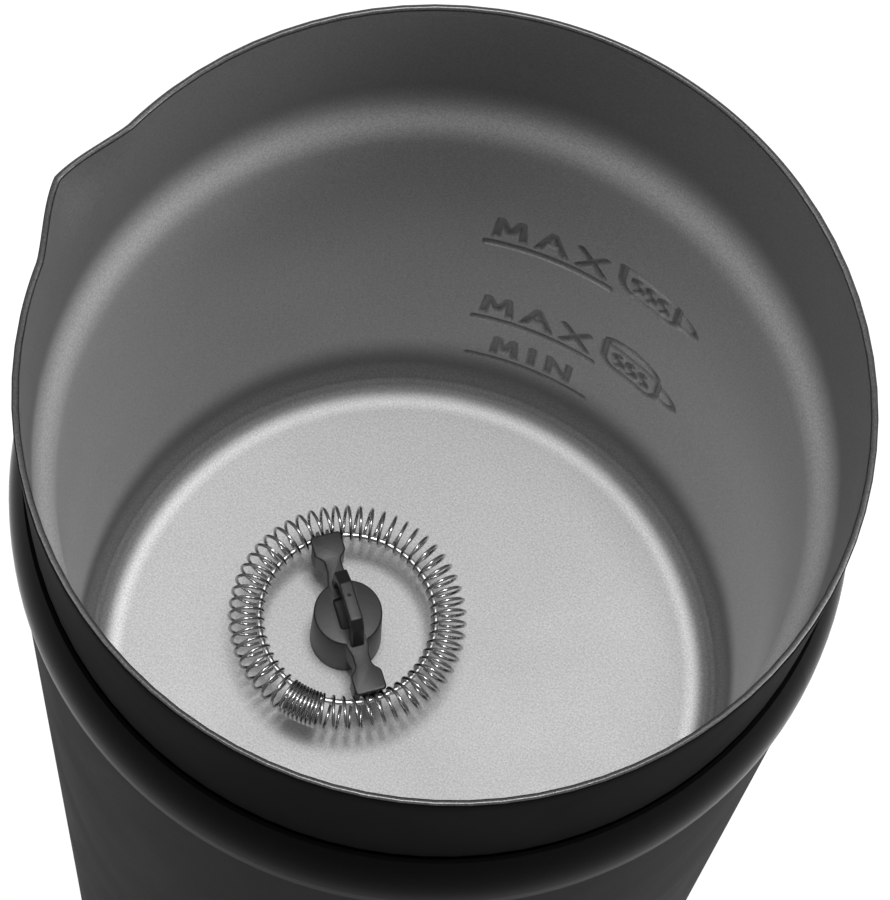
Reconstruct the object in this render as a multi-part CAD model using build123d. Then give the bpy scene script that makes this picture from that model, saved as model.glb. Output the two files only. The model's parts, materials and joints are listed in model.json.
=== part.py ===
from build123d import *
import os
from math import cos, pi, radians, sin, sqrt

# Cordless milk frother, in millimetres. +Z is up and the origin lies on the table plane, on the
# axis of the round body. The spout points to -X, the start button faces -Y, and the whisk turns
# about an upright axis that is set off from the middle of the cup towards the spout.

# Body
total_height = 190.0         # table to rim
body_radius = 47.3           # outside of the casing at its top
body_taper = 2.2             # radius lost from there down to the base
shell_wall = 2.2             # casing thickness
foot_height = 2.5            # table to the underside of the base
skirt_height = 3.5           # edge of the base cover that shows below the casing
skirt_inset = 1.0            # how far that edge stands back from the casing

# Fits
fit_gap = 0.3                # between pieces that move past one another
seat_gap = 0.1               # between pieces that are dropped into place
press_gap = 0.02             # between pieces that are pressed together
slide_gap = 0.2              # around pieces that are slid into place

# Milk cup
rim_inset = 1.3              # how far the rim stands back from the casing
cup_wall = 0.8               # sheet thickness
collar_depth = 21.7          # rim to the start of the shoulder
collar_taper = 0.5           # radius lost down the collar
shoulder_drop = 4.0          # height of the shoulder
shoulder_step = 2.3          # radius lost over the shoulder
shoulder_round = 4.0
wall_taper = 0.4             # radius lost from the shoulder to the floor
floor_round = 4.0            # cove between wall and floor
rim_round = 0.35

# Pinched spout
spout_angle = 12.0           # half of the arc that the spout takes from the rim
spout_reach = 3.2            # rim to the corner of the spout before it is rounded
spout_round = 5.0            # radius at its tip
spout_depth = 13.0           # height over which it fades into the collar

# Whisk axis and floor pivot
drive_offset = 8.7           # body axis to whisk axis
pivot_radius = 2.0
pivot_height = 2.0

# Trim ring
band_top_depth = 22.2        # rim to the top edge of the ring
band_height = 10.7           # part of the ring that shows
band_lip = 0.45              # thickness of its top edge
band_edge = 1.6              # upright edge at its foot
band_overhang = 0.5          # how far it stands out over the casing
tongue_depth = 6.0           # part that reaches down inside the casing
cup_clearance = 0.25         # ring to cup
gasket_height = 2.5
gasket_depth = 1.2
gasket_rise = 2.0            # foot of the ring to the gasket

# Whisk holder
hub_radius = 4.4
hub_draft = 0.25             # extra radius at the foot of the hub
hub_height = 10.0            # cup floor to the top of the hub
arm_angle = 135.5            # direction of the first arm
arm_thickness = 4.6
arm_root = 1.5               # half widths of the arm at the hub, at its waist and at the paddle
arm_waist = 1.1
paddle_half = 2.05
paddle_length = 2.9
arm_round = 0.6
lip_thickness = 0.6          # top of the paddle that reaches out over the coil
lip_reach = 0.75
fin_thickness = 0.4          # webs that pass between the turns and carry the hoop
fin_height = 1.3
loop_foot = 4.8              # half lengths of the lifting loop at its feet and its top
loop_top = 4.0
loop_height = 6.0
loop_strip = 1.2             # thickness of its strip
loop_width = 1.7
recess_length = 4.3          # sunk panel under the loop
recess_width = 3.1
recess_depth = 0.8
magnet_height = 4.2          # magnet inside the hub
hub_wall = 0.7
cap_height = 2.9             # plug under the magnet
core_gap = 0.08              # running gap between magnet and hub

# Hoop and coil
hoop_radius = 11.4
hoop_wire = 0.35
coil_radius = 13.0           # middle of the coil's tube
coil_turn = 2.2              # radius of one turn
coil_wire = 0.22             # corner radius of the wire's section
coil_sides = 4
turn_points = 8
turns_far = 29               # turns on the half of the ring without a joint
turns_before = 20            # open turns between the arm and the joint
turns_after = 5
tight_turns = 4              # close turns on either side of the wire's ends
tight_pitch = 2.8            # degrees round the ring for a close turn
coil_clearance = 0.25        # coil to paddle

# Drive
drive_gap = 1.5              # cup floor to the magnet carrier
carrier_radius = 11.5
carrier_height = 5.0
carrier_hub = 4.0
drive_magnet_radius = 3.4
drive_magnet_height = 3.0
drive_magnet_offset = 6.5
shaft_radius = 1.0
bearing_gap = 0.05
motor_radius = 12.0
motor_length = 24.0
motor_boss = 3.0
motor_cap_height = 2.5
motor_screw_offset = 8.0
terminal_offset = 9.0
lead_run = 27.4              # control board to the pins of the motor

# Chassis between cup and base
drive_space = 11.7           # underside of the cup to the chassis
chassis_wall = 3.0
post_circle = 34.5           # circle of the long posts and of the cup studs
post_radius = 3.2
post_count = 3
post_start = 60.0            # direction of the first post
stud_radius = 1.5
nut_height = 2.4
nut_radius = 3.0
screw_radius = 1.3
screw_head = 2.7
screw_head_height = 1.4
screw_length = 18.0

# Heater
heater_radius = 26.0         # middle of the bent tube
heater_tube = 3.0
heater_plate_wall = 2.0
heater_plate_inner = 21.0
heater_plate_outer = 30.5
heater_gap = 25.0            # half of the open angle between the tube's ends
heater_turn = 90.0           # direction of that opening
terminal_radius = 1.2
terminal_length = 14.0
terminal_inset = 6.0         # degrees from the tube's end to its terminal
lead_radius = 1.1

# Thermal parts on the chassis
thermostat_radius = 6.5
thermostat_height = 7.0
thermostat_x = 9.0
thermostat_y = -9.5
sensor_radius = 2.4
sensor_stem = 1.6
sensor_x = 10.0
sensor_y = 9.0
fuse_radius = 1.8
fuse_length = 11.0
fuse_x = 4.0
fuse_y = 16.0

# Start button
button_height = 44.0         # table to the middle of the button
button_radius = 7.0
button_proud = 0.5           # how far it stands out of the casing
button_travel = 1.0
light_width = 1.5            # glowing ring around the button
light_flange = 1.8           # its flange behind the casing
flange_wall = 1.5
stem_radius = 2.0
stem_length = 3.3
plunger_radius = 1.6
switch_size = 6.2
switch_depth = 3.5
button_board_size = 20.0
board_wall = 1.6
bracket_wall = 2.5
led_radius = 1.4

# Base, foot and socket
base_wall = 2.5
spigot_height = 8.0          # collar of the base cover inside the casing
spigot_wall = 2.0
foot_inset = 1.5             # edge of the base cover to the foot ring
foot_width = 2.4             # foot ring, across its section
foot_groove = 1.0
foot_chamfer = 0.6
socket_radius = 16.5
socket_wall = 2.0
socket_depth = 11.0
socket_roof = 4.0
socket_flange = 2.0
pin_radius = 3.0
pin_recess = 1.5             # underside of the base to the tip of the pin
blade_offset = 9.0
blade_width = 4.0
blade_wall = 0.8
tab_height = 4.0

# Control board
board_rise = 3.5             # top of the socket to the board
board_outer = 36.0
board_inner = 15.0
board_screw_circle = 31.0
board_post = 2.8
part_circle = 25.5           # circle on which the larger parts stand
relay_depth = 10.0           # of each block: along the radius, across it, and its height
relay_width = 15.5
relay_height = 14.0
relay_angle = 30.0
capacitor_radius = 4.5
capacitor_height = 12.0
capacitor_angle = 90.0
chip_depth = 7.0
chip_width = 10.0
chip_height = 1.8
chip_angle = 150.0
block_depth = 6.0
block_width = 12.0
block_height = 7.0
block_angle = 215.0

# Heights and radii that follow from the sizes above, from the base up to the cup
base_top = foot_height + base_wall
shell_low = foot_height + skirt_height
well_top = foot_height + socket_depth
socket_top = well_top + socket_roof
board_low = socket_top + board_rise
board_top = board_low + board_wall
motor_pin_low = board_top + lead_run
motor_foot = motor_pin_low + motor_cap_height
motor_low = motor_foot + motor_cap_height
chassis_low = motor_low + motor_length
chassis_top = chassis_low + chassis_wall
floor_under = chassis_top + drive_space
floor_z = floor_under + cup_wall
rim_z = total_height
rim_radius = body_radius - rim_inset
collar_z = rim_z - collar_depth
shoulder_z = collar_z - shoulder_drop
collar_inner = rim_radius - cup_wall
shoulder_inner = collar_inner - collar_taper
wall_inner = shoulder_inner - shoulder_step
foot_of_wall = wall_inner - wall_taper
drive_x = -drive_offset
base_radius = body_radius - body_taper
skirt_radius = base_radius - skirt_inset
foot_outer = skirt_radius - foot_inset
foot_inner = foot_outer - foot_width
band_top = rim_z - band_top_depth
band_low = band_top - band_height
body_slope = body_taper / (band_low - shell_low)
band_bore = wall_inner + cup_wall + cup_clearance
hub_top = floor_z + hub_height
hub_low = floor_z + fit_gap
ring_z = hub_top - arm_thickness / 2
paddle_tip = coil_radius - coil_turn - coil_wire - coil_clearance
far_pitch = 180.0 / turns_far
near_pitch = (180.0 - (2 * tight_turns + 1) * tight_pitch) / (turns_before + turns_after)
cavity_radius = hub_radius - hub_wall
carrier_top = floor_under - drive_gap
carrier_low = carrier_top - carrier_height
heater_low = floor_under - heater_plate_wall
tube_z = heater_low - heater_tube - seat_gap
thermostat_low = floor_under - seat_gap - thermostat_height
terminal_low = tube_z - heater_tube - seat_gap - terminal_length
light_outer = button_radius + fit_gap + light_width
flange_radius = light_outer + light_flange
flange_room = base_radius + body_slope * (button_height - flange_radius - shell_low) - shell_wall
flange_front = -(sqrt(flange_room ** 2 - flange_radius ** 2) - seat_gap)
flange_back = flange_front + flange_wall
retainer_front = flange_back + fit_gap
retainer_back = retainer_front + flange_wall
stem_end = retainer_back + stem_length
plunger_tip = stem_end + press_gap
switch_front = plunger_tip + button_travel + fit_gap
switch_back = switch_front + switch_depth
bracket_front = switch_back + board_wall
bracket_back = bracket_front + bracket_wall
bracket_low = button_height - button_board_size / 2
button_screws = ((-0.35, 0.35), (0.35, -0.35))
led_places = ((-0.35, -0.35), (0.35, 0.35))

UPRIGHT = (Align.CENTER, Align.CENTER, Align.MIN)


def post(radius, low, high, x=0.0, y=0.0):
    """Upright cylinder between two heights."""
    return Pos(x, y, low) * Cylinder(radius, high - low, align=UPRIGHT)


def tube(outer, inner, low, high, x=0.0, y=0.0):
    """Upright sleeve between two heights."""
    return post(outer, low, high, x, y) - post(inner, low, high, x, y)


def bar(radius, front, back, x, z):
    """Cylinder along Y between two depths."""
    return Pos(x, front, z) * Rot(-90, 0, 0) * Cylinder(radius, back - front, align=UPRIGHT)


def slab(size_x, size_y, low, high, x=0.0, y=0.0, turn=0.0):
    """Upright block between two heights, turned about its own middle."""
    return Pos(x, y, low) * Rot(0, 0, turn) * Box(size_x, size_y, high - low, align=UPRIGHT)


def polar(radius, angle):
    """Point on a circle about the body axis."""
    return radius * cos(radians(angle)), radius * sin(radians(angle))


def spread(start):
    """Places of the posts, or of the studs half a step further on."""
    return [polar(post_circle, start + 360.0 * i / post_count) for i in range(post_count)]


def turned(*outline):
    """Solid of revolution from a closed half section given as radius and height."""
    return revolve(Plane.XZ * make_face(Polyline(*outline, close=True).edges()), Axis.Z)


def casing_at(z):
    """Outer radius of the tapered casing at a height."""
    return base_radius + body_slope * (z - shell_low)


def casing_core(grow):
    """Solid inside the casing's outer face, grown or shrunk along the radius."""
    low = (base_radius + grow, shell_low)
    return turned((0, shell_low), low, (body_radius + grow, band_low), (0, band_low))


posts = spread(post_start)
studs = spread(post_start + 180.0 / post_count)
board_screw_angles = [post_start + 360.0 * (i + 0.5) / post_count for i in range(post_count)]
board_screws_at = [polar(board_screw_circle, angle) for angle in board_screw_angles]
terminals = [polar(heater_radius, heater_turn + side * (heater_gap + terminal_inset)) for side in (-1, 1)]
motor_terminals_at = [(drive_x - terminal_offset, side * terminal_offset / 2) for side in (-1, 1)]
motor_screws_at = [(drive_x, side * motor_screw_offset) for side in (-1, 1)]


def cup_core(grow):
    """Space inside the cup, grown by a sheet thickness for the outside."""
    side = FilletPolyline(
        (0, floor_z - grow),
        (foot_of_wall + grow, floor_z - grow),
        (wall_inner + grow, shoulder_z),
        (shoulder_inner + grow, collar_z),
        (collar_inner + grow, rim_z),
        radius=(floor_round + grow, shoulder_round, shoulder_round),
    )
    lid = Polyline((collar_inner + grow, rim_z), (0, rim_z), (0, floor_z - grow))
    return revolve(Plane.XZ * make_face(side.edges() + lid.edges()), Axis.Z)


def spout_wedge(grow):
    """Wedge that pushes the collar out to a rounded tip and fades away below it."""
    radius = collar_inner + grow
    side_x = -radius * cos(radians(spout_angle))
    side_y = radius * sin(radians(spout_angle))
    tip_x = -radius - spout_reach
    mouth = FilletPolyline((side_x, side_y), (tip_x, 0), (side_x, -side_y), radius=spout_round + grow)
    chord = Line((side_x, -side_y), (side_x, side_y))
    outline = Pos(0, 0, rim_z) * Wire(mouth.edges() + chord.edges())
    foot_x = -(radius - collar_taper * spout_depth / collar_depth - press_gap)
    return Solid.make_loft([outline, Vertex(foot_x, 0, rim_z - spout_depth)], ruled=True)


def milk_cup():
    """Deep-drawn cup with collar, shoulder, cove, spout and a pivot for the whisk."""
    outside = cup_core(cup_wall) + spout_wedge(cup_wall)
    inside = cup_core(0.0) + spout_wedge(0.0)
    cup = outside - inside
    cup = fillet(cup.edges().filter_by_position(Axis.Z, rim_z, rim_z), rim_round)
    return cup + post(pivot_radius, floor_z - cup_wall / 2, floor_z + pivot_height, drive_x)


def trim_ring():
    """Flaring ring that carries the cup's shoulder and caps the casing."""
    slope = shoulder_step / shoulder_drop
    lip_inner = band_bore + slope * min(band_top - shoulder_z, shoulder_drop)
    lip = (lip_inner + band_lip, band_top)
    edge = (body_radius + band_overhang, band_low + band_edge)
    tongue_low = band_low - tongue_depth
    tongue = casing_at(tongue_low) - shell_wall - slide_gap
    flare = TangentArc(edge, lip, tangent=(0, 1))
    inside = FilletPolyline(lip, (lip_inner, band_top), (band_bore, shoulder_z), (band_bore, tongue_low),
                            radius=(0.0, shoulder_round))
    outside = Polyline((band_bore, tongue_low), (tongue, tongue_low), (tongue, band_low),
                       (edge[0], band_low), edge)
    ring = revolve(Plane.XZ * make_face(flare.edges() + inside.edges() + outside.edges()), Axis.Z)
    groove_low = band_low + gasket_rise
    return ring - post(band_bore + gasket_depth, groove_low, groove_low + gasket_height)


def cup_gasket():
    """Silicone ring between the trim ring and the wall of the cup."""
    low = band_low + gasket_rise
    outer = band_bore + gasket_depth - press_gap
    return tube(outer, wall_inner + cup_wall + press_gap, low + press_gap, low + gasket_height - press_gap)


def body_shell():
    """Casing tube with the opening for the button."""
    shell = casing_core(0.0) - casing_core(-shell_wall)
    return shell - bar(light_outer + slide_gap, -2 * body_radius, 0, 0, button_height)


def base_cover():
    """Bottom plate with skirt, spigot, foot groove, screw seats and board posts."""
    spigot = base_radius - shell_wall - slide_gap
    hole = socket_radius + slide_gap
    spigot_top = shell_low + spigot_height
    cover = turned((hole, foot_height), (skirt_radius, foot_height), (skirt_radius, shell_low),
                   (spigot, shell_low), (spigot, spigot_top), (spigot - spigot_wall, spigot_top),
                   (spigot - spigot_wall, base_top), (hole, base_top))
    cover -= tube(foot_outer, foot_inner, foot_height, foot_height + foot_groove)
    for x, y in board_screws_at:
        cover += tube(board_post, screw_radius, base_top, board_low, x, y)
    for x, y in posts:
        cover -= post(screw_head + slide_gap, 0, foot_height + screw_head_height, x, y)
        cover -= post(screw_radius + slide_gap, 0, base_top, x, y)
    return cover


def foot_ring():
    """Rubber ring on which the frother stands."""
    ring = tube(foot_outer - press_gap, foot_inner + press_gap, 0, foot_height + foot_groove)
    edge = min(foot_chamfer, (foot_outer - foot_inner) / 4)
    return chamfer(ring.edges().filter_by_position(Axis.Z, 0, 0), edge)


def base_screws():
    """Long screws from the base cover into the posts of the chassis."""
    low = foot_height + seat_gap
    seat = foot_height + screw_head_height
    tip = seat + screw_length
    shank = screw_radius - press_gap
    return [post(screw_head, low, seat, x, y) + post(shank, seat, tip, x, y) for x, y in posts]


def socket_housing():
    """Appliance half of the cordless connector: a round well open below."""
    housing = post(socket_radius, foot_height, socket_top)
    housing += post(socket_radius + socket_flange, base_top, base_top + socket_flange)
    housing -= post(socket_radius - socket_wall, 0, well_top)
    housing -= post(pin_radius + press_gap, 0, total_height)
    for side in (-1, 1):
        gap = 2 * press_gap
        housing -= slab(blade_wall + gap, blade_width + gap, 0, total_height, side * blade_offset)
    return housing


def socket_pin():
    """Middle contact of the connector."""
    return post(pin_radius, foot_height + pin_recess, socket_top + tab_height)


def socket_contacts():
    """Two blades beside the pin, with their tabs above the roof."""
    low = foot_height + 2 * pin_recess
    top = socket_top + tab_height
    return [slab(blade_wall, blade_width, low, top, side * blade_offset) for side in (-1, 1)]


def chassis():
    """Plate under the cup with posts, stud sleeves, part seats and the button bracket."""
    plate_radius = casing_at(chassis_low) - shell_wall - 2 * slide_gap
    frame = post(plate_radius, chassis_low, chassis_top)
    for x, y in posts:
        frame += post(post_radius, base_top, chassis_low, x, y)
        frame -= post(screw_radius, base_top, base_top + screw_length, x, y)
    for x, y in studs:
        frame += post(post_radius, chassis_top, floor_under, x, y)
        frame -= post(stud_radius + slide_gap, chassis_low, floor_under, x, y)
    frame += post(thermostat_radius, chassis_top, thermostat_low, thermostat_x, thermostat_y)
    frame -= post(sensor_stem + press_gap, chassis_low, chassis_top, sensor_x, sensor_y)
    frame -= post(motor_boss + slide_gap, chassis_low, chassis_top, drive_x)
    for x, y in motor_screws_at:
        frame -= post(screw_radius + slide_gap, chassis_low, chassis_top, x, y)
    for x, y in terminals:
        frame -= post(terminal_radius + slide_gap, chassis_low, chassis_top, x, y)
    middle = bracket_front + bracket_wall / 2
    frame += slab(button_board_size, bracket_wall, bracket_low, chassis_low, 0, middle)
    for u, w in button_screws:
        z = button_height + w * button_board_size
        frame -= bar(screw_radius, bracket_front, bracket_back, u * button_board_size, z)
    return frame


def cup_studs():
    """Studs welded under the cup, by which the chassis hangs."""
    return [post(stud_radius, chassis_low - 1.5 * nut_height, floor_under, x, y) for x, y in studs]


def chassis_nuts():
    """Hexagon nuts on the studs."""
    nut = extrude(RegularPolygon(nut_radius, 6) - Circle(stud_radius + press_gap), nut_height)
    return [Pos(x, y, chassis_low - nut_height) * nut for x, y in studs]


def heater_plate():
    """Aluminium ring that spreads the heat over the cup's floor."""
    return tube(heater_plate_outer, heater_plate_inner, heater_low, floor_under)


def heating_element():
    """Bent tubular element under the plate."""
    section = Plane.XZ * Pos(heater_radius, tube_z) * Circle(heater_tube)
    arc = revolve(section, Axis.Z, 360.0 - 2 * heater_gap)
    return Rot(0, 0, heater_turn + heater_gap) * arc


def heater_terminals():
    """Cold pins that lead down from the element's ends through the chassis."""
    top = tube_z - heater_tube - seat_gap
    return [post(terminal_radius, terminal_low, top, x, y) for x, y in terminals]


def heater_leads():
    """Insulated leads from the cold pins to the control board."""
    return [post(lead_radius, board_top, terminal_low, x, y) for x, y in terminals]


def thermostat():
    """Bimetal cut-out held between the chassis and the cup."""
    top = thermostat_low + thermostat_height
    return post(thermostat_radius, thermostat_low, top, thermostat_x, thermostat_y)


def temperature_sensor():
    """Sensor pressed to the cup's floor, its stem in the chassis."""
    head = post(sensor_radius, chassis_top, floor_under - seat_gap, sensor_x, sensor_y)
    return head + post(sensor_stem, chassis_low, chassis_top, sensor_x, sensor_y)


def thermal_fuse():
    """Fuse link that lies on the chassis."""
    body = Rot(0, 90, 0) * Cylinder(fuse_radius, fuse_length)
    return Pos(fuse_x, fuse_y, chassis_top + fuse_radius + seat_gap) * body


def motor_can():
    """Closed motor can with its bearing boss and shaft bore."""
    can = post(motor_radius, motor_low, chassis_low, drive_x)
    can += post(motor_boss, chassis_low, chassis_top - slide_gap, drive_x)
    can -= post(shaft_radius + bearing_gap, motor_low + fit_gap, chassis_top, drive_x)
    for x, y in motor_screws_at:
        can -= post(screw_radius, chassis_low - 2 * chassis_wall, chassis_low, x, y)
    return can


def motor_end_cap():
    """Plastic cap under the motor, slotted for its terminals."""
    cap = post(motor_radius - slide_gap, motor_foot, motor_low, drive_x)
    for x, y in motor_terminals_at:
        cap -= post(terminal_radius + press_gap, motor_foot, motor_low, x, y)
    return cap


def motor_terminals():
    """Two solder pins through the end cap."""
    return [post(terminal_radius, motor_pin_low, motor_low, x, y) for x, y in motor_terminals_at]


def motor_leads():
    """Short leads from the motor down to the board."""
    return [post(lead_radius, board_top, motor_pin_low, x, y) for x, y in motor_terminals_at]


def motor_screws():
    """Screws that hold the motor under the chassis."""
    low = chassis_low - 1.5 * chassis_wall
    top = chassis_top + screw_head_height
    return [post(screw_radius - press_gap, low, chassis_top, x, y) + post(screw_head, chassis_top, top, x, y)
            for x, y in motor_screws_at]


def motor_shaft():
    """Shaft from the motor up into the magnet carrier."""
    return post(shaft_radius, motor_low + 2 * fit_gap, carrier_top - carrier_height / 4, drive_x)


def magnet_carrier():
    """Disc on the shaft with pockets for the drive magnets."""
    disc = post(carrier_radius, carrier_low, carrier_top, drive_x)
    disc += post(carrier_hub, chassis_top + drive_gap, carrier_low, drive_x)
    disc -= post(shaft_radius + press_gap, chassis_top, carrier_top - carrier_height / 4, drive_x)
    for side in (-1, 1):
        x = drive_x + side * drive_magnet_offset
        disc -= post(drive_magnet_radius + press_gap, carrier_top - drive_magnet_height, carrier_top, x)
    return disc


def drive_magnets():
    """Magnet discs in the carrier."""
    low = carrier_top - drive_magnet_height
    return [post(drive_magnet_radius, low, carrier_top, drive_x + side * drive_magnet_offset)
            for side in (-1, 1)]


def control_board():
    """Ring-shaped board with notches around the chassis posts."""
    board = tube(board_outer, board_inner, board_low, board_top)
    for x, y in posts:
        board -= post(post_radius + fit_gap, board_low, board_top, x, y)
    for x, y in board_screws_at:
        board -= post(screw_radius + slide_gap, board_low, board_top, x, y)
    return board


def board_screws():
    """Screws that hold the board on the posts of the base cover."""
    low = base_top + base_wall
    top = board_top + screw_head_height
    return [post(screw_radius - press_gap, low, board_top, x, y) + post(screw_head, board_top, top, x, y)
            for x, y in board_screws_at]


def board_part(depth, width, height, angle):
    """Block on the board, its depth along the radius."""
    x, y = polar(part_circle, angle)
    return slab(depth, width, board_top, board_top + height, x, y, angle)


def capacitor():
    """Upright electrolytic capacitor."""
    x, y = polar(part_circle, capacitor_angle)
    return post(capacitor_radius, board_top, board_top + capacitor_height, x, y)


def light_ring():
    """Glowing ring around the button, flush with the casing."""
    sleeve = bar(light_outer, -2 * body_radius, flange_back, 0, button_height) & casing_core(0.0)
    sleeve += bar(flange_radius, flange_front, flange_back, 0, button_height)
    return sleeve - bar(button_radius + fit_gap, -2 * body_radius, flange_back, 0, button_height)


def start_button():
    """Button with a retaining flange and a stem for the switch."""
    cap = bar(button_radius, -2 * body_radius, retainer_front, 0, button_height)
    cap = cap & casing_core(button_proud)
    cap += bar(button_radius + light_width, retainer_front, retainer_back, 0, button_height)
    return cap + bar(stem_radius, retainer_back, stem_end, 0, button_height)


def switch_plunger():
    """Plunger of the switch, pushed by the button's stem."""
    depth = switch_back - button_travel - 2 * fit_gap
    return bar(plunger_radius, plunger_tip, depth, 0, button_height)


def tact_switch():
    """Switch body with a bore for the plunger."""
    middle = switch_front + switch_depth / 2
    body = Pos(0, middle, button_height) * Box(switch_size, switch_depth, switch_size)
    return body - bar(plunger_radius + core_gap, switch_front, switch_back - fit_gap, 0, button_height)


def button_board():
    """Upright board that carries the switch and the lamps."""
    middle = switch_back + board_wall / 2
    board = Pos(0, middle, button_height) * Box(button_board_size, board_wall, button_board_size)
    for u, w in button_screws:
        z = button_height + w * button_board_size
        board -= bar(screw_radius + slide_gap, switch_back, bracket_front, u * button_board_size, z)
    return board


def button_board_screws():
    """Screws through the board into the bracket."""
    made = []
    for u, w in button_screws:
        x = u * button_board_size
        z = button_height + w * button_board_size
        shank = bar(screw_radius - press_gap, switch_back, bracket_back, x, z)
        made.append(shank + bar(screw_head, switch_back - screw_head_height, switch_back, x, z))
    return made


def status_leds():
    """Two lamps that light the ring."""
    made = []
    for u, w in led_places:
        z = button_height + w * button_board_size
        made.append(bar(led_radius, switch_back - 2 * led_radius, switch_back, u * button_board_size, z))
    return made


def button_ribbon():
    """Flat lead from the button board down to the control board."""
    middle = switch_back + board_wall / 2
    return slab(switch_size, board_wall / 2, board_top, bracket_low, 0, middle)


def arm_plan():
    """Outline of one arm along +X: root, waist and paddle."""
    start = paddle_tip - paddle_length
    waist = (hub_radius + start) / 2
    upper = [(0, arm_root), (hub_radius, arm_root), (waist, arm_waist), (start, arm_waist),
             (start + paddle_half - arm_waist, paddle_half), (paddle_tip, paddle_half)]
    lower = [(x, -y) for x, y in reversed(upper)]
    return make_face(FilletPolyline(*upper, *lower, radius=arm_round, close=True).edges())


def arm():
    """Arm with a top lip over the coil and webs that hold the hoop between the turns."""
    shape = extrude(arm_plan(), arm_thickness)
    lip_length = lip_reach + arm_round
    lip_x = paddle_tip - arm_round + lip_length / 2
    lip_width = 2 * paddle_half - arm_round
    shape += slab(lip_length, lip_width, arm_thickness - lip_thickness, arm_thickness, lip_x)
    fin_end = hoop_radius + hoop_wire + fin_thickness
    fin_start = paddle_tip - 2 * arm_round
    fin = Box(fin_end - fin_start, fin_thickness, fin_height)
    fin = Pos((fin_start + fin_end) / 2, 0, arm_thickness / 2) * fin
    for side in (-1, 1):
        shape += Rot(0, 0, side * far_pitch / 2) * fin
    return shape


def hoop(wire):
    """Ring of round wire about the whisk axis."""
    return Pos(drive_x, 0, ring_z) * Torus(hoop_radius, wire)


def strap_side(foot, top, height, corner):
    """Rounded arch of straight runs, from one foot over the top to the other."""
    return FilletPolyline((-foot, 0), (-top, height), (top, height), (foot, 0), radius=corner).edges()


def lifting_loop():
    """Strap over the hub by which the whisk is lifted out."""
    foot = loop_foot - loop_strip
    height = loop_height - loop_strip
    top = loop_top - loop_strip * (1.0 - (loop_foot - loop_top) / loop_height)
    outline = strap_side(loop_foot, loop_top, loop_height, loop_strip + arm_round)
    outline += strap_side(foot, top, height, arm_round)
    outline += [Line((-loop_foot, 0), (-foot, 0)), Line((foot, 0), (loop_foot, 0))]
    return extrude(Plane.XZ * make_face(outline), loop_width / 2, both=True)


def whisk_holder():
    """Hub with lifting loop and two arms."""
    rise = hub_top - hub_low
    hub = Pos(0, 0, hub_low) * Cone(hub_radius + hub_draft, hub_radius, rise, align=UPRIGHT)
    for turn in (0, 180):
        hub += Pos(0, 0, hub_top - arm_thickness) * Rot(0, 0, turn) * arm()
    hub += Pos(0, 0, hub_top) * lifting_loop()
    recess = Box(recess_length, recess_width, recess_depth, align=UPRIGHT)
    hub -= Pos(0, 0, hub_top - recess_depth) * recess
    hub -= post(cavity_radius, hub_low, hub_low + cap_height + magnet_height + 2 * fit_gap)
    hub = Pos(drive_x, 0, 0) * Rot(0, 0, arm_angle) * hub
    return hub - hoop(hoop_wire + press_gap)


def hub_cap():
    """Plug in the hub with a socket for the floor pivot."""
    cap = post(cavity_radius - press_gap, hub_low, hub_low + cap_height, drive_x)
    return cap - post(pivot_radius + core_gap, 0, floor_z + pivot_height + seat_gap, drive_x)


def whisk_magnet():
    """Round magnet inside the hub."""
    low = hub_low + cap_height + fit_gap
    return post(cavity_radius - core_gap, low, low + magnet_height, drive_x)


def coil_point(angle, part):
    """Point on the coil, part of one turn on from the inside of the ring."""
    turn = pi * (1.0 + 2.0 * part)
    radius = coil_radius + coil_turn * cos(turn)
    x, y = polar(radius, angle)
    return drive_x + x, y, ring_z - coil_turn * sin(turn)


def whisk_coil():
    """Coil bent to a ring, with close turns where the two ends of its wire meet."""
    pitches = [tight_pitch] * tight_turns + [near_pitch] * turns_after + [far_pitch] * turns_far
    pitches += [near_pitch] * turns_before + [tight_pitch] * tight_turns
    angle = arm_angle + 180.0 - turns_after * near_pitch - tight_turns * tight_pitch
    points = []
    for pitch in pitches:
        for i in range(turn_points):
            points.append(coil_point(angle + pitch * i / turn_points, i / turn_points))
        angle += pitch
    points.append(coil_point(angle, 0.0))
    path = Polyline(*points)
    section = Plane(origin=path @ 0, z_dir=path % 0) * RegularPolygon(coil_wire, coil_sides)
    return sweep(section, path=path, transition=Transition.RIGHT)


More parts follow.
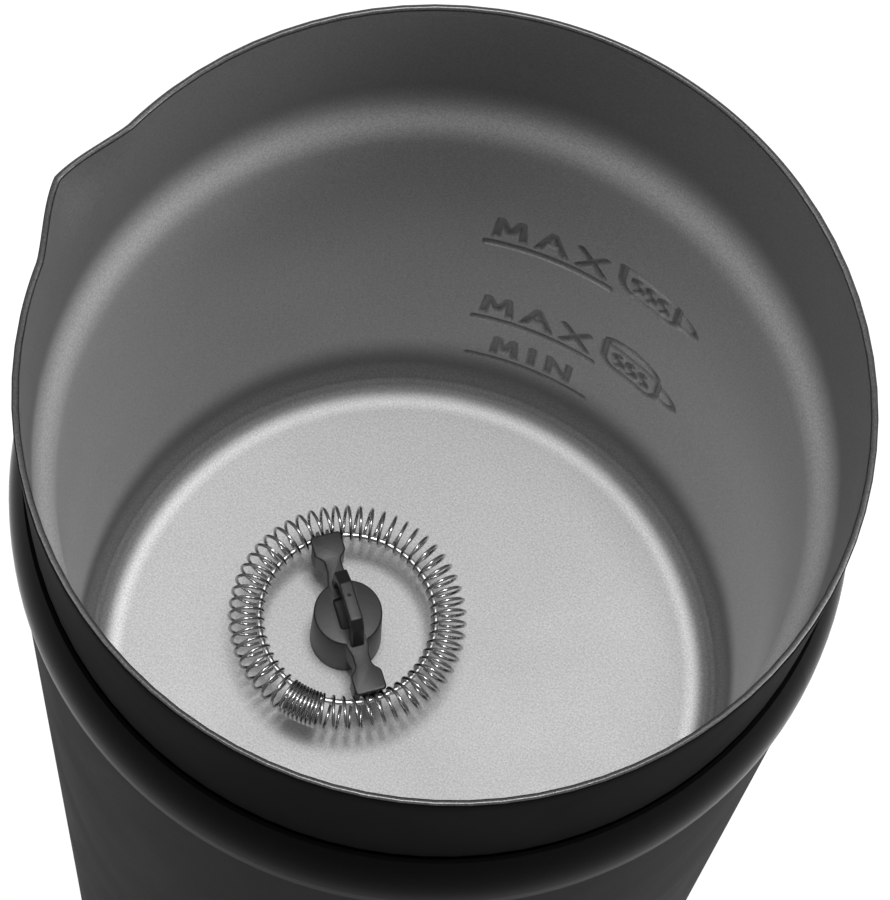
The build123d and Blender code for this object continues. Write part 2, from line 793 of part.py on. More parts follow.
nodes = {
    "milk_cup": milk_cup(),
    "trim_ring": trim_ring(),
    "cup_gasket": cup_gasket(),
    "body_shell": body_shell(),
    "base_cover": base_cover(),
    "foot_ring": foot_ring(),
    "base_screws": base_screws(),
    "socket_housing": socket_housing(),
    "socket_pin": socket_pin(),
    "socket_contacts": socket_contacts(),
    "chassis": chassis(),
    "cup_studs": cup_studs(),
    "chassis_nuts": chassis_nuts(),
    "heater_plate": heater_plate(),
    "heating_element": heating_element(),
    "heater_terminals": heater_terminals(),
    "heater_leads": heater_leads(),
    "thermostat": thermostat(),
    "temperature_sensor": temperature_sensor(),
    "thermal_fuse": thermal_fuse(),
    "motor_can": motor_can(),
    "motor_end_cap": motor_end_cap(),
    "motor_terminals": motor_terminals(),
    "motor_leads": motor_leads(),
    "motor_screws": motor_screws(),
    "motor_shaft": motor_shaft(),
    "magnet_carrier": magnet_carrier(),
    "drive_magnets": drive_magnets(),
    "control_board": control_board(),
    "board_screws": board_screws(),
    "relay": board_part(relay_depth, relay_width, relay_height, relay_angle),
    "control_chip": board_part(chip_depth, chip_width, chip_height, chip_angle),
    "lead_block": board_part(block_depth, block_width, block_height, block_angle),
    "capacitor": capacitor(),
    "light_ring": light_ring(),
    "start_button": start_button(),
    "switch_plunger": switch_plunger(),
    "tact_switch": tact_switch(),
    "button_board": button_board(),
    "button_board_screws": button_board_screws(),
    "status_leds": status_leds(),
    "button_ribbon": button_ribbon(),
    "whisk_holder": whisk_holder(),
    "hub_cap": hub_cap(),
    "whisk_magnet": whisk_magnet(),
    "whisk_hoop": hoop(hoop_wire),
    "whisk_coil": whisk_coil(),
}

os.makedirs("parts", exist_ok=True)
for name, made in nodes.items():
    shape = Compound(children=made) if isinstance(made, list) else made
    export_step(shape, f"parts/{name}.step")
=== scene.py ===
"""Looks of a cordless milk frother: its coated cup, spring whisk and finishes, with a plain studio."""
import json
from math import ceil, cos, hypot, pi, radians, sin, tan

import bmesh
import bpy
from bpy.props import FloatProperty, FloatVectorProperty, IntProperty, PointerProperty
from mathutils import Matrix, Vector


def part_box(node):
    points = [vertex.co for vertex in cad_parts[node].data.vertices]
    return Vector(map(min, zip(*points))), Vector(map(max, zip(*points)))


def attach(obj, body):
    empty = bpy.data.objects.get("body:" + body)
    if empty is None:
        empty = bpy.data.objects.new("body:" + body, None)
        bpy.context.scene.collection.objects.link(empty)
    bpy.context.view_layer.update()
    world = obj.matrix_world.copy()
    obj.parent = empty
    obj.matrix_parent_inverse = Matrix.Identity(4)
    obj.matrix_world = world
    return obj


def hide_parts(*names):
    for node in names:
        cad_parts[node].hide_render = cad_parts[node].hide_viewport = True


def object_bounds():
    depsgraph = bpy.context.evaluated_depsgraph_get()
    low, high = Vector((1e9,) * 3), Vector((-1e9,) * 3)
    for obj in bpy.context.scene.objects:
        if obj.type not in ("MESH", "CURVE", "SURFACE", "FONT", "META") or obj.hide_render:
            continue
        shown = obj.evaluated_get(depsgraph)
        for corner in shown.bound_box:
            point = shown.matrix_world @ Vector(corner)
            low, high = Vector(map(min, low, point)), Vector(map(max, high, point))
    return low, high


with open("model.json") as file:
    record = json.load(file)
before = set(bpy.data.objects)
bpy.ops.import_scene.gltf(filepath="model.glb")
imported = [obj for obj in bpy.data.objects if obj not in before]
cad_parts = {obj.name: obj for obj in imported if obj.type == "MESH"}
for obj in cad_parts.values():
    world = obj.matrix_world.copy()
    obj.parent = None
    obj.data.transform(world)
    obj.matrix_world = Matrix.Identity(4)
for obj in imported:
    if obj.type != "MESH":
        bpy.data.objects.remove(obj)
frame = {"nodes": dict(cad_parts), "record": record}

bl_info = {
    "name": "Milk frother",
    "version": (1, 0, 0),
    "blender": (4, 5, 0),
    "location": "3D View > Sidebar > Frother",
    "description": "Models the cup, the spring whisk and the finishes of a cordless milk frother",
    "category": "Add Mesh",
}

MM = 0.001
CAD_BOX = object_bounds()
CUP_LOW, CUP_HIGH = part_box("milk_cup")
HOOP_LOW, HOOP_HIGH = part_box("whisk_hoop")
WHISK_AXIS = (HOOP_LOW + HOOP_HIGH) / 2
BODY = "frother_body"
WHISK = "whisk"


def length(name, description, default):
    """A size in metres that the panel shows."""
    return FloatProperty(name=name, description=description, default=default, min=0.0, precision=5,
                         unit="LENGTH")


def angle(name, description, default):
    """A turn, given in degrees."""
    return FloatProperty(name=name, description=description, default=radians(default),
                         subtype="ANGLE")


def colour(name, description, default):
    """A linear colour without transparency."""
    return FloatVectorProperty(name=name, description=description, default=default, size=3, min=0.0,
                               max=1.0, subtype="COLOR")


def fraction(name, description, default):
    """A part of one."""
    return FloatProperty(name=name, description=description, default=default, min=0.0, max=1.0,
                         subtype="FACTOR")


def power(name, description, default):
    """The power of a lamp in watts."""
    return FloatProperty(name=name, description=description, default=default, min=0.0, unit="POWER")


def number(name, description, default):
    """How many of a thing there are."""
    return IntProperty(name=name, description=description, default=default, min=1)


class CupSizes(bpy.types.PropertyGroup):
    """Sizes of the drawn cup and its spout."""

    wall: length("Sheet", "Thickness of the cup's sheet", 0.8 * MM)
    collar_depth: length("Collar", "Rim to the start of the shoulder", 21.7 * MM)
    collar_taper: length("Collar taper", "Radius lost down the collar", 0.5 * MM)
    shoulder_drop: length("Shoulder height", "Height of the shoulder", 4.0 * MM)
    shoulder_step: length("Shoulder step", "Radius lost over the shoulder", 2.3 * MM)
    shoulder_round: length("Shoulder round", "Radius at both bends of the shoulder", 7.0 * MM)
    wall_taper: length("Wall taper", "Radius lost from shoulder to floor", 0.4 * MM)
    floor_round: length("Cove", "Radius between wall and floor", 4.0 * MM)
    spout_width: length("Spout width", "Half of the rim that the spout draws with it", 9.4 * MM)
    spout_crease: fraction("Spout crease", "Share of the spout drawn to a crease", 0.6)
    pivot_radius: length("Pivot radius", "Pin under the hub of the whisk", 2.0 * MM)
    pivot_height: length("Pivot height", "Cup floor to the top of the pin", 2.0 * MM)
    fine_step: length("Fine step", "Mesh step around the pressed marks", 0.24 * MM)


class MarkSizes(bpy.types.PropertyGroup):
    """Sizes of the level marks on the cup's wall."""

    start: angle("Start", "Direction of the left end of the lines", 108.2)
    line: length("Line", "Length of a level line", 16.3 * MM)
    letter_height: length("Letters", "Height of the letters", 4.9 * MM)
    letter_gap: length("Letter gap", "Level line to the foot of the letters", 1.5 * MM)
    stroke: length("Stroke", "Width of a pressed stroke", 1.05 * MM)
    depth: length("Depth", "Depth of a pressed stroke", 0.5 * MM)
    high_level: length("High level", "Cup floor to the upper line", 43.6 * MM)
    froth_level: length("Froth level", "Cup floor to the middle line", 21.0 * MM)
    low_level: length("Low level", "Cup floor to the lower line", 9.0 * MM)
    sign_gap: length("Sign gap", "End of a line to the cup sign beside it", 1.2 * MM)
    sign_rise: length("Sign rise", "Level line to the foot of its cup sign", 1.6 * MM)


class WhiskSizes(bpy.types.PropertyGroup):
    """Sizes of the whisk holder and of its coil."""

    arm_angle: angle("Arm angle", "Direction of the first arm", 135.5)
    hub_radius: length("Hub radius", "Radius at the top of the hub", 4.4 * MM)
    hub_draft: length("Hub draft", "Extra radius at the foot of the hub", 0.25 * MM)
    hub_top: length("Hub top", "Cup floor to the top of the hub", 10.0 * MM)
    hub_low: length("Hub foot", "Cup floor to the foot of the hub", 0.3 * MM)
    arm_thickness: length("Arm thickness", "Height of the arms", 4.6 * MM)
    arm_root: length("Arm root", "Half width of an arm at the hub", 1.5 * MM)
    arm_waist: length("Arm waist", "Half width of an arm at its waist", 1.1 * MM)
    paddle_half: length("Paddle", "Half width of the paddle", 2.05 * MM)
    paddle_length: length("Paddle length", "Length of the paddle", 2.9 * MM)
    paddle_tip: length("Paddle tip", "Whisk axis to the end of the paddle", 10.33 * MM)
    lip_thickness: length("Lip thickness", "Top of the paddle that reaches over the coil", 0.6 * MM)
    lip_reach: length("Lip reach", "How far that top reaches past the paddle", 0.75 * MM)
    fin_thickness: length("Web thickness", "Webs that pass between the turns to the hoop", 0.4 * MM)
    fin_height: length("Web height", "Height of those webs", 1.3 * MM)
    loop_foot: length("Loop foot", "Half length of the lifting loop at its feet", 4.8 * MM)
    loop_top: length("Loop top", "Half length of the lifting loop at its top", 4.0 * MM)
    loop_flat_near: length("Loop flat, near", "Hub axis to the near end of the loop's flat", 3.2 * MM)
    loop_flat_far: length("Loop flat, far", "Hub axis to the far end of the loop's flat", 2.0 * MM)
    loop_dot: length("Loop dot", "Radius of the moulded dot on the loop", 0.26 * MM)
    loop_shoulder: length("Loop shoulder", "Drop from that flat to the legs", 1.5 * MM)
    loop_height: length("Loop height", "Hub to the top of the lifting loop", 6.0 * MM)
    loop_strip: length("Loop strip", "Thickness of the lifting loop", 1.2 * MM)
    loop_width: length("Loop width", "Width of the lifting loop", 1.7 * MM)
    recess_length: length("Recess length", "Sunk panel under the loop", 4.3 * MM)
    recess_width: length("Recess width", "Sunk panel under the loop", 3.1 * MM)
    recess_depth: length("Recess depth", "Sunk panel under the loop", 0.5 * MM)
    edge: length("Edge", "Rounding of the moulded edges", 0.22 * MM)
    coil_radius: length("Coil radius", "Whisk axis to the middle of the coil", 13.0 * MM)
    turn_radius: length("Turn radius", "Radius of one turn", 2.2 * MM)
    wire: length("Wire", "Radius of the coil's wire", 0.22 * MM)
    far_turns: number("Far turns", "Turns on the half without a joint", 29)
    before_turns: number("Turns before", "Open turns before the joint", 20)
    after_turns: number("Turns after", "Open turns after the joint", 5)
    tight_turns: number("Tight turns", "Close turns at the joint", 9)
    tight_pitch: angle("Tight pitch", "Turn of the ring for one close turn", 2.25)
    hoop_wire: length("Hoop wire", "Radius of the hoop's wire", 0.35 * MM)
    turn_points: number("Turn points", "Points on one turn", 20)


class Finishes(bpy.types.PropertyGroup):
    """Colours of the visible finishes, and the shares of painted light and shade inside the cup."""

    coating: colour("Coating", "Inside of the cup", (0.90, 0.90, 0.90))
    # Painted light and shade inside the cup, as shares of the coating: painted light on the floor, a
    # painted highlight along the floor's edge and on the shoulder, painted shade in the cove, in the
    # pressed marks, up the wall and in the collar.
    floor_painted_light: fraction("Floor", "Tone of the floor, as a share of the coating", 0.72)
    edge_painted_highlight: fraction("Floor edge", "Tone along the edge of the floor, as a share of the coating", 1.0)
    cove_painted_shade: fraction("Cove", "Tone of the cove, as a share of the coating", 0.24)
    groove_painted_shade: fraction("Grooves", "Share of the tone left in the marks", 0.6)
    wall_painted_shade: fraction("Wall", "Tone of the lower wall, as a share of the coating", 0.6)
    high_wall_painted_shade: fraction("High wall", "Tone under the shoulder, as a share of the coating", 0.38)
    shoulder_painted_highlight: fraction("Shoulder", "Tone of the shoulder, as a share of the coating", 0.45)
    collar_painted_shade: fraction("Collar", "Tone of the collar, as a share of the coating", 0.13)
    lip: colour("Lip", "Coating on the lip of the cup", (0.062, 0.062, 0.062))
    cup_black: colour("Cup outside", "Painted outside of the cup", (0.005, 0.005, 0.005))
    trim: colour("Trim", "Glossy trim ring", (0.004, 0.004, 0.004))
    casing: colour("Casing", "Matte casing", (0.0138, 0.0138, 0.0138))
    whisk: colour("Whisk plastic", "Holder of the whisk", (0.016, 0.016, 0.016))
    steel: colour("Steel", "Wire of the coil", (0.50, 0.50, 0.50))
    hoop: colour("Hoop", "Wire of the hoop", (0.85, 0.85, 0.85))
    rubber: colour("Rubber", "Foot ring", (0.018, 0.018, 0.018))
    light: colour("Light ring", "Lens around the button", (0.55, 0.56, 0.57))


class StageSizes(bpy.types.PropertyGroup):
    """Floor, lamps and camera."""

    floor: length("Floor", "Side of the floor", 8.0)
    key_watts: power("Key power", "Power of the lamp overhead", 24.0)
    right_watts: power("Right power", "Power of the right lamp", 6.6)
    left_watts: power("Left power", "Power of the left lamp", 2.1)
    left_wall_watts: power("Left wall power", "Power of the lamp on the cup's left wall", 3.36)
    right_wall_watts: power("Right wall power", "Power of the lamp on the cup's right wall", 2.8)
    lamp_side: length("Lamp side", "Side of each square lamp", 0.5)
    ambient: FloatProperty(name="Ambient", description="Strength of the room's light", default=0.05)
    lens: FloatProperty(name="Lens", description="Focal length", default=145.6, unit="CAMERA")


SETTINGS = {
    "frother_cup": CupSizes,
    "frother_marks": MarkSizes,
    "frother_whisk": WhiskSizes,
    "frother_finish": Finishes,
    "frother_stage": StageSizes,
}


# Modelling helpers

def fresh():
    """Leaves object mode with nothing selected."""
    if bpy.context.mode != "OBJECT":
        bpy.ops.object.mode_set(mode="OBJECT")
    bpy.ops.object.select_all(action="DESELECT")


def activate(piece):
    """Makes one piece the only selected one."""
    fresh()
    piece.select_set(True)
    bpy.context.view_layer.objects.active = piece


def edit(piece):
    """Opens a piece for editing with all of it selected."""
    activate(piece)
    bpy.ops.object.mode_set(mode="EDIT")
    bpy.ops.mesh.select_all(action="SELECT")


def pick(piece, kind, test):
    """Selects the vertices, edges or faces of the edited piece that pass a test."""
    bpy.ops.mesh.select_mode(type=kind)
    bpy.ops.mesh.select_all(action="DESELECT")
    mesh = bmesh.from_edit_mesh(piece.data)
    parts = {"VERT": mesh.verts, "EDGE": mesh.edges, "FACE": mesh.faces}[kind]
    count = 0
    for part in parts:
        if test(part):
            part.select_set(True)
            count += 1
    mesh.select_flush_mode()
    bmesh.update_edit_mesh(piece.data)
    if not count:
        raise RuntimeError(f"{piece.name} has nothing to select here")


def settle(piece):
    """Moves a piece's place into its mesh."""
    activate(piece)
    bpy.ops.object.transform_apply(location=True, rotation=True, scale=True)


def line_of_edges(name, points):
    """Draws edges from point to point, starting from a plane merged to its middle."""
    fresh()
    bpy.ops.mesh.primitive_plane_add(size=MM, location=points[0])
    piece = bpy.context.object
    piece.name = name
    settle(piece)
    edit(piece)
    bpy.ops.mesh.merge(type="CENTER")
    for before, after in zip(points, points[1:]):
        step = Vector(after) - Vector(before)
        bpy.ops.mesh.extrude_vertices_move(TRANSFORM_OT_translate={"value": step})
    bpy.ops.object.mode_set(mode="OBJECT")
    return piece


def plate(name, outline, thickness):
    """Closed outline filled and extruded by a vector."""
    piece = line_of_edges(name, [*outline, outline[0]])
    edit(piece)
    bpy.ops.mesh.remove_doubles(threshold=MM / 1000)
    bpy.ops.mesh.edge_face_add()
    bpy.ops.mesh.extrude_region_move(TRANSFORM_OT_translate={"value": thickness})
    bpy.ops.mesh.select_all(action="SELECT")
    bpy.ops.mesh.normals_make_consistent(inside=False)
    if bmesh.from_edit_mesh(piece.data).calc_volume(signed=True) < 0.0:
        bpy.ops.mesh.flip_normals()
    bpy.ops.object.mode_set(mode="OBJECT")
    return piece


def soften(piece, width, segments=3, limit=35.0):
    """Rounds the sharp edges of a piece."""
    activate(piece)
    bpy.ops.object.modifier_add(type="BEVEL")
    bevel = piece.modifiers[-1]
    bevel.width = width
    bevel.segments = segments
    bevel.limit_method = "ANGLE"
    bevel.angle_limit = radians(limit)
    bpy.ops.object.modifier_apply(modifier=bevel.name)


def combine(piece, other, operation):
    """Adds another solid to a piece or cuts it away, and removes the other."""
    activate(piece)
    bpy.ops.object.modifier_add(type="BOOLEAN")
    change = piece.modifiers[-1]
    change.operation = operation
    change.solver = "EXACT"
    change.object = other
    bpy.ops.object.modifier_apply(modifier=change.name)
    bpy.data.objects.remove(other)


def smooth(piece, limit=35.0):
    """Smooth shading apart from sharp edges."""
    activate(piece)
    bpy.ops.object.shade_smooth_by_angle(angle=radians(limit))


def dress(piece, body, slot, materials, *nodes):
    """Gives a finished piece its finish and its body, and hides the nodes that it stands for."""
    piece.data.materials.clear()
    for material in materials:
        piece.data.materials.append(material)
    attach(piece, body)
    if nodes:
        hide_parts(*nodes)


def rounded(corners, radii, steps=8):
    """Points along a broken line with its corners rounded, radius by radius."""
    points = [Vector(corners[0])]
    for before, corner, after, radius in zip(corners, corners[1:], corners[2:], radii):
        middle = Vector(corner)
        back = (Vector(before) - middle).normalized()
        ahead = (Vector(after) - middle).normalized()
        half = back.angle(ahead) / 2
        if not radius:
            points.append(middle)
            continue
        bisector = (back + ahead).normalized()
        centre = middle + bisector * (radius / sin(half))
        start = middle + back * (radius / tan(half)) - centre
        end = middle + ahead * (radius / tan(half)) - centre
        for i in range(steps + 1):
            points.append(centre + start.slerp(end, i / steps) * radius)
    points.append(Vector(corners[-1]))
    return points


def divided(start, end, step):
    """Points from start to end at about a given step, without the end."""
    count = max(1, ceil((end - start).length / step))
    return [start.lerp(end, i / count) for i in range(count)]


def on_wall(radius, direction, height):
    """Point on a round wall about the cup's axis."""
    return Vector((radius * cos(direction), radius * sin(direction), height))


# Shader groups and materials

def new_group(name, inputs, outputs):
    """Empty shader group with named sockets."""
    group = bpy.data.node_groups.new(name, "ShaderNodeTree")
    for socket, kind, default in inputs:
        made = group.interface.new_socket(socket, in_out="INPUT", socket_type=kind)
        if default is not None:
            made.default_value = default
    for socket, kind in outputs:
        group.interface.new_socket(socket, in_out="OUTPUT", socket_type=kind)
    return group, group.nodes.new("NodeGroupInput"), group.nodes.new("NodeGroupOutput")


def spread_of(tree, source, low, high, to_low, to_high):
    """Maps a value from one range to another, within its ends."""
    node = tree.nodes.new("ShaderNodeMapRange")
    tree.links.new(source, node.inputs["Value"])
    node.inputs["From Min"].default_value = low
    node.inputs["From Max"].default_value = high
    node.inputs["To Min"].default_value = to_low
    node.inputs["To Max"].default_value = to_high
    return node.outputs["Result"]


def grain_group():
    """Fine even grain of a coating or a moulded surface, as a mask around one half and a height."""
    group, given, made = new_group(
        "Fine grain",
        [("Vector", "NodeSocketVector", None), ("Size", "NodeSocketFloat", 3000.0)],
        [("Grain", "NodeSocketFloat"), ("Height", "NodeSocketFloat")])
    noise = group.nodes.new("ShaderNodeTexNoise")
    noise.inputs["Detail"].default_value = 2.0
    noise.inputs["Roughness"].default_value = 0.65
    group.links.new(given.outputs["Vector"], noise.inputs["Vector"])
    group.links.new(given.outputs["Size"], noise.inputs["Scale"])
    grain = spread_of(group, noise.outputs["Fac"], 0.3, 0.7, 0.0, 1.0)
    group.links.new(grain, made.inputs["Grain"])
    group.links.new(noise.outputs["Fac"], made.inputs["Height"])
    return group


def handling_group():
    """Broad uneven patches that handling and wiping leave on a finish."""
    group, given, made = new_group(
        "Handling",
        [("Vector", "NodeSocketVector", None), ("Size", "NodeSocketFloat", 60.0)],
        [("Patches", "NodeSocketFloat")])
    noise = group.nodes.new("ShaderNodeTexNoise")
    noise.inputs["Detail"].default_value = 5.0
    noise.inputs["Roughness"].default_value = 0.55
    noise.inputs["Distortion"].default_value = 0.6
    group.links.new(given.outputs["Vector"], noise.inputs["Vector"])
    group.links.new(given.outputs["Size"], noise.inputs["Scale"])
    group.links.new(spread_of(group, noise.outputs["Fac"], 0.25, 0.75, 0.0, 1.0), made.inputs["Patches"])
    return group


class Surface:
    """One material in the making: its shader and the nodes that vary it over the surface."""

    def __init__(self, name, base, **sockets):
        self.material = bpy.data.materials.new(name)
        self.material.use_nodes = True
        self.tree = self.material.node_tree
        self.shader = self.tree.nodes["Principled BSDF"]
        self.shader.inputs["Base Color"].default_value = (*base, 1.0)
        for socket, value in sockets.items():
            self.shader.inputs[socket.replace("_", " ")].default_value = value
        self.base = base
        self.place = self.tree.nodes.new("ShaderNodeTexCoord").outputs["Object"]

    def group(self, name, size):
        """Places a shared group, scaled in features per metre."""
        node = self.tree.nodes.new("ShaderNodeGroup")
        node.node_tree = bpy.data.node_groups[name]
        node.inputs["Size"].default_value = size
        self.tree.links.new(self.place, node.inputs["Vector"])
        return node

    def tint(self, mask, dark, light):
        """Varies the base colour by a mask between two shares of it."""
        mix = self.tree.nodes.new("ShaderNodeMix")
        mix.data_type = "RGBA"
        mix.inputs["A"].default_value = (*[dark * c for c in self.base], 1.0)
        mix.inputs["B"].default_value = (*[min(1.0, light * c) for c in self.base], 1.0)
        self.tree.links.new(mask, mix.inputs["Factor"])
        self.tree.links.new(mix.outputs["Result"], self.shader.inputs["Base Color"])

    def vary(self, socket, mask, low, high):
        """Varies a shader value by a mask."""
        self.tree.links.new(spread_of(self.tree, mask, 0.0, 1.0, low, high), self.shader.inputs[socket])

    def bump(self, height, strength, distance):
        """Raises the surface by a height."""
        node = self.tree.nodes.new("ShaderNodeBump")
        node.inputs["Strength"].default_value = strength
        node.inputs["Distance"].default_value = distance
        self.tree.links.new(height, node.inputs["Height"])
        self.tree.links.new(node.outputs["Normal"], self.shader.inputs["Normal"])

    def shade(self, value, stops):
        """Paints light and shade into the base colour: multiplies it by shares along a value of the
        place, stop by stop.
        """
        low, high = stops[0][0], stops[-1][0]
        ramp = self.tree.nodes.new("ShaderNodeValToRGB")
        ramp.color_ramp.interpolation = "EASE"
        while len(ramp.color_ramp.elements) < len(stops):
            ramp.color_ramp.elements.new(0.5)
        for element, (at, share) in zip(ramp.color_ramp.elements, stops):
            element.position = (at - low) / (high - low)
            element.color = (share, share, share, 1.0)
        self.tree.links.new(spread_of(self.tree, value, low, high, 0.0, 1.0), ramp.inputs["Fac"])
        self.multiply(ramp.outputs["Color"])

    def height(self):
        """Height of the place."""
        split = self.tree.nodes.new("ShaderNodeSeparateXYZ")
        self.tree.links.new(self.place, split.inputs["Vector"])
        return split.outputs["Z"]

    def radius(self):
        """Distance of the place from the cup's axis."""
        flat = self.tree.nodes.new("ShaderNodeVectorMath")
        flat.operation = "MULTIPLY"
        flat.inputs[1].default_value = (1.0, 1.0, 0.0)
        self.tree.links.new(self.place, flat.inputs[0])
        reach = self.tree.nodes.new("ShaderNodeVectorMath")
        reach.operation = "LENGTH"
        self.tree.links.new(flat.outputs["Vector"], reach.inputs[0])
        return reach.outputs["Value"]

    def paint_shade(self, attribute, share):
        """Paints shade into the base colour where an attribute of the mesh rises to one."""
        groove = self.tree.nodes.new("ShaderNodeAttribute")
        groove.attribute_name = attribute
        self.multiply(spread_of(self.tree, groove.outputs["Fac"], 0.0, 1.0, 1.0, share))

    def multiply(self, factor):
        """Multiplies what feeds the base colour."""
        mix = self.tree.nodes.new("ShaderNodeMix")
        mix.data_type = "RGBA"
        mix.blend_type = "MULTIPLY"
        mix.inputs["Factor"].default_value = 1.0
        colour_socket = self.shader.inputs["Base Color"]
        self.tree.links.new(colour_socket.links[0].from_socket, mix.inputs["A"])
        self.tree.links.new(factor, mix.inputs["B"])
        self.tree.links.new(mix.outputs["Result"], colour_socket)


def grainy(name, base, grain, tint, rough, bump, **sockets):
    """Material with a fine grain and handling patches over one colour."""
    return grained(name, base, grain, tint, rough, bump, **sockets).material


def grained(name, base, grain, tint, rough, bump, **sockets):
    """The surface behind such a material, for further shading."""
    surface = Surface(name, base, **sockets)
    fine = surface.group("Fine grain", grain)
    broad = surface.group("Handling", 55.0)
    surface.tint(fine.outputs["Grain"], *tint)
    surface.vary("Roughness", broad.outputs["Patches"], *rough)
    surface.bump(fine.outputs["Height"], bump, 0.05 * MM)
    return surface


def coating_material():
    """Speckled grey coating inside the cup, with painted light and shade: painted light on the floor, a
    painted highlight along its edge and on the shoulder, painted shade in the cove, up the wall and in
    the collar.
    """
    finish = bpy.context.scene.frother_finish
    sizes = bpy.context.scene.frother_cup
    surface = grained("cup_coating", finish.coating, 4200.0, (0.7, 1.3), (0.5, 0.58), 0.45, Metallic=0.2)
    collar = CUP_HIGH.z - sizes.collar_depth
    shoulder = collar - sizes.shoulder_drop / 2
    floor = CUP_LOW.z + sizes.wall
    floor_end, cove_start, cove_end, wall_start, wall_end = [
        floor + rise * MM for rise in (0.4, 1.2, 4, 13, 30)]
    blend = 5 * MM
    # Painted light and shade by height: painted shade in the cove, up the wall and in the collar, a
    # painted highlight on the shoulder.
    surface.shade(surface.height(), [
        (floor, 1.0), (floor_end, 1.0), (cove_start, finish.cove_painted_shade), (cove_end, finish.cove_painted_shade),
        (wall_start, finish.wall_painted_shade), (wall_end, finish.wall_painted_shade),
        (shoulder - blend, finish.high_wall_painted_shade), (shoulder, finish.shoulder_painted_highlight),
        (collar + blend, finish.collar_painted_shade), (CUP_HIGH.z, finish.collar_painted_shade)])
    wall = CUP_HIGH.x - sizes.wall - sizes.collar_taper - sizes.shoulder_step - sizes.wall_taper
    edge = wall - sizes.floor_round
    # Painted light and shade by radius: painted light on the floor, a painted highlight ring along its
    # edge, painted shade in the cove.
    surface.shade(surface.radius(), [
        (0.0, finish.floor_painted_light), (edge - 1.8 * MM, finish.floor_painted_light),
        (edge - 0.4 * MM, finish.edge_painted_highlight), (edge + 1.4 * MM, finish.cove_painted_shade),
        (edge + 2.0 * MM, finish.cove_painted_shade), (wall - 0.7 * MM, 1.0), (CUP_HIGH.x, 1.0)])
    # Painted shade in the pressed marks.
    surface.paint_shade("groove", finish.groove_painted_shade)
    return surface.material


def lip_material():
    """The same coating where it wraps the lip, burnished by wiping."""
    base = bpy.context.scene.frother_finish.lip
    return grainy("cup_lip", base, 3600.0, (0.7, 1.3), (0.26, 0.34), 0.2, Metallic=0.9)


def cup_black_material():
    """Black paint on the outside of the cup."""
    base = bpy.context.scene.frother_finish.cup_black
    return grainy("cup_black", base, 3200.0, (0.8, 1.2), (0.42, 0.52), 0.1, Specular_IOR_Level=0.0022)


def trim_material():
    """Polished black trim ring."""
    base = bpy.context.scene.frother_finish.trim
    return grainy("trim_gloss", base, 1500.0, (0.9, 1.1), (0.14, 0.2), 0.01, Specular_IOR_Level=0.006)


def casing_material():
    """Matte black casing with a fine moulded grain."""
    base = bpy.context.scene.frother_finish.casing
    return grainy("casing_matte", base, 2600.0, (0.8, 1.2), (0.5, 0.6), 0.2, Specular_IOR_Level=0.010)


def whisk_plastic_material():
    """Dark moulded plastic of the whisk."""
    base = bpy.context.scene.frother_finish.whisk
    return grainy("whisk_plastic", base, 3500.0, (0.8, 1.25), (0.40, 0.48), 0.3, Specular_IOR_Level=0.5)


def steel_material():
    """Drawn steel wire."""
    base = bpy.context.scene.frother_finish.steel
    return grainy("whisk_steel", base, 2500.0, (0.9, 1.1), (0.12, 0.18), 0.03, Metallic=1.0)


def hoop_material():
    """Drawn steel wire with a duller skin."""
    base = bpy.context.scene.frother_finish.hoop
    return grainy("hoop_steel", base, 2500.0, (0.92, 1.05), (0.32, 0.4), 0.03, Metallic=1.0)


def plain_materials():
    """Finishes of the base and of the pieces inside, slot by slot."""
    finish = bpy.context.scene.frother_finish
    dull = {
        "base_plastic": ((0.02, 0.02, 0.02), 2400.0, (0.8, 1.2), (0.5, 0.6), 0.2),
        "foot_rubber": (finish.rubber, 3000.0, (0.7, 1.3), (0.75, 0.9), 0.3),
        "silicone": ((0.35, 0.35, 0.36), 2000.0, (0.9, 1.1), (0.5, 0.65), 0.1),
        "socket_plastic": ((0.015, 0.015, 0.015), 2400.0, (0.8, 1.2), (0.4, 0.5), 0.15),
        "chassis_plastic": ((0.12, 0.12, 0.12), 2000.0, (0.9, 1.1), (0.5, 0.6), 0.15),
        "lead_insulation": ((0.45, 0.06, 0.04), 1800.0, (0.9, 1.1), (0.45, 0.55), 0.05),
        "part_black": ((0.02, 0.02, 0.021), 2200.0, (0.8, 1.2), (0.45, 0.6), 0.1),
        "board_resin": ((0.02, 0.10, 0.045), 1500.0, (0.85, 1.15), (0.3, 0.42), 0.08),
        "light_lens": (finish.light, 1800.0, (0.95, 1.05), (0.3, 0.4), 0.03),
        "button_plastic": ((0.022, 0.022, 0.022), 2600.0, (0.8, 1.2), (0.4, 0.5), 0.15),
    }
    metal = {
        "screw_steel": ((0.5, 0.5, 0.5), 1800.0, (0.85, 1.1), (0.28, 0.4), 0.1),
        "contact_brass": ((0.72, 0.50, 0.22), 1500.0, (0.85, 1.08), (0.2, 0.35), 0.05),
        "heater_aluminium": ((0.65, 0.65, 0.66), 2200.0, (0.9, 1.08), (0.35, 0.5), 0.15),
        "motor_steel": ((0.42, 0.42, 0.43), 2000.0, (0.9, 1.1), (0.3, 0.42), 0.1),
        "magnet_plating": ((0.55, 0.55, 0.53), 1800.0, (0.9, 1.1), (0.2, 0.3), 0.05),
    }
    made = {slot: grainy(slot, *look) for slot, look in dull.items()}
    made.update({slot: grainy(slot, *look, Metallic=1.0) for slot, look in metal.items()})
    return made


# Cup

